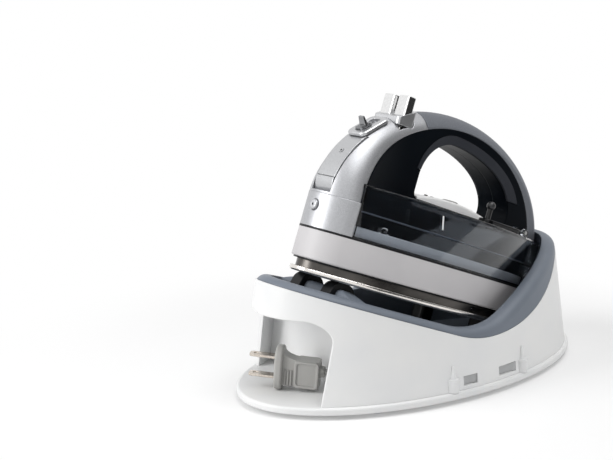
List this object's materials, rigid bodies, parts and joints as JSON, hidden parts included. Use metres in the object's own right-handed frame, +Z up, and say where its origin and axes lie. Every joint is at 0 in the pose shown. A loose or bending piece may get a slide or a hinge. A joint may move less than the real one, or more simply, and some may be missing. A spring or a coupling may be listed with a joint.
{
  "type": "clothes iron",
  "caption": "Cordless steam iron with an arched handle, leaning on its oval charging base with the mains plug stored in a front bay.",
  "frame": {"origin": "under the middle of the base, on the surface it stands on", "axes": "+Z up, -X towards the iron's nose and the plug bay, -Y the side with the filler cap"},
  "size_m": [0.27, 0.146, 0.185],
  "materials": {
    "white_plastic": "semi-gloss moulded plastic",
    "slate_plastic": "satin moulded plastic",
    "black_plastic": "fine-textured moulded plastic",
    "silver_plastic": "silver metallic paint",
    "grey_plastic": "grey silver metallic paint",
    "grip_rubber": "soft-touch rubber",
    "skirt_plastic": "light grey heat-resistant plastic",
    "smoke_clear": "clear smoke-tinted plastic",
    "stainless": "polished stainless steel",
    "cast_aluminium": "dark cast aluminium",
    "chrome": "bright chrome plating",
    "brass": "bare brass",
    "black_rubber": "silicone rubber",
    "clear_rubber": "translucent rubber",
    "pale_plastic": "pale grey moulded plastic",
    "board": "circuit board",
    "lamp": "dark red lens",
    "steel": "spring steel"
  },
  "bodies": {
    "base": {"base_plate": "white_plastic", "rubber_feet": "clear_rubber", "base_shell": "white_plastic", "dock_tray": "slate_plastic", "terminal_block": "black_plastic", "dock_contacts": "brass", "nose_ribs": "black_rubber", "rear_rests": "black_rubber", "reel_housing": "white_plastic", "reel_axle": "steel", "reel_spring": "steel", "plug_body": "pale_plastic", "plug_blades": "brass", "plug_boot": "pale_plastic", "cord_lead": "black_rubber", "cord_gland": "pale_plastic"},
    "reel": {"reel_drum": "black_plastic", "wound_cord": "black_rubber"},
    "iron": {"soleplate": "stainless", "heater_casting": "cast_aluminium", "heating_element": "steel", "steam_cover": "cast_aluminium", "skirt_gasket": "black_rubber", "skirt": "skirt_plastic", "tail_terminal": "black_plastic", "tail_contacts": "brass", "chassis": "black_plastic", "valve_body": "pale_plastic", "thermostat": "steel", "thermal_fuse": "steel", "control_board": "board", "nose_shell": "silver_plastic", "spray_nozzle": "pale_plastic", "front_shell": "silver_plastic", "front_panel": "grey_plastic", "pilot_lens": "lamp", "selector_bezel": "chrome", "key_deck": "chrome", "spray_pump": "pale_plastic", "shot_pump": "pale_plastic", "spray_spring": "steel", "shot_spring": "steel", "rear_cover": "grey_plastic", "handle_left": "black_plastic", "handle_right": "black_plastic", "grip_inlay_left": "grip_rubber", "grip_inlay_right": "grip_rubber", "water_tank": "smoke_clear", "cap_pin": "steel", "control_panel": "white_plastic", "panel_lenses": "lamp"},
    "spray_key": {"spray_key": "chrome"},
    "shot_key": {"shot_key": "chrome"},
    "selector": {"steam_slider": "chrome"},
    "temp_button": {"temperature_button": "pale_plastic"},
    "cap": {"filler_cap": "black_plastic", "cap_seal": "black_rubber", "cap_knob": "chrome"}
  },
  "joints": [
    {"name": "iron_lift", "type": "slide", "parent": "base", "child": "iron", "axis": [-0.2588, 0, 0.9659], "range_m": [0, 0.14]},
    {"name": "reel_spin", "type": "hinge", "parent": "base", "child": "reel", "pos_m": [-0.0361, 0, 0.0142], "axis": [0, 0, 1], "continuous": true},
    {"name": "spray_press", "type": "slide", "parent": "iron", "child": "spray_key", "axis": [-0.3453, 0, -0.9385], "range_m": [0, 0.004], "stiffness_N_per_m": 400, "springref_m": -0.002, "deforming": ["spray_spring"]},
    {"name": "shot_press", "type": "slide", "parent": "iron", "child": "shot_key", "axis": [-0.3453, 0, -0.9385], "range_m": [0, 0.004], "stiffness_N_per_m": 400, "springref_m": -0.002, "deforming": ["shot_spring"]},
    {"name": "steam_select", "type": "slide", "parent": "iron", "child": "selector", "axis": [0.9379, 0, 0.347], "range_m": [0, 0.006]},
    {"name": "temp_press", "type": "slide", "parent": "iron", "child": "temp_button", "axis": [-0.3453, 0, -0.9385], "range_m": [0, 0.001], "stiffness_N_per_m": 400, "springref_m": -0.001},
    {"name": "cap_flip", "type": "hinge", "parent": "iron", "child": "cap", "pos_m": [0.06949, -0.0295, 0.08906], "axis": [0, 1, 0], "range_deg": [0, 100]}
  ]
}
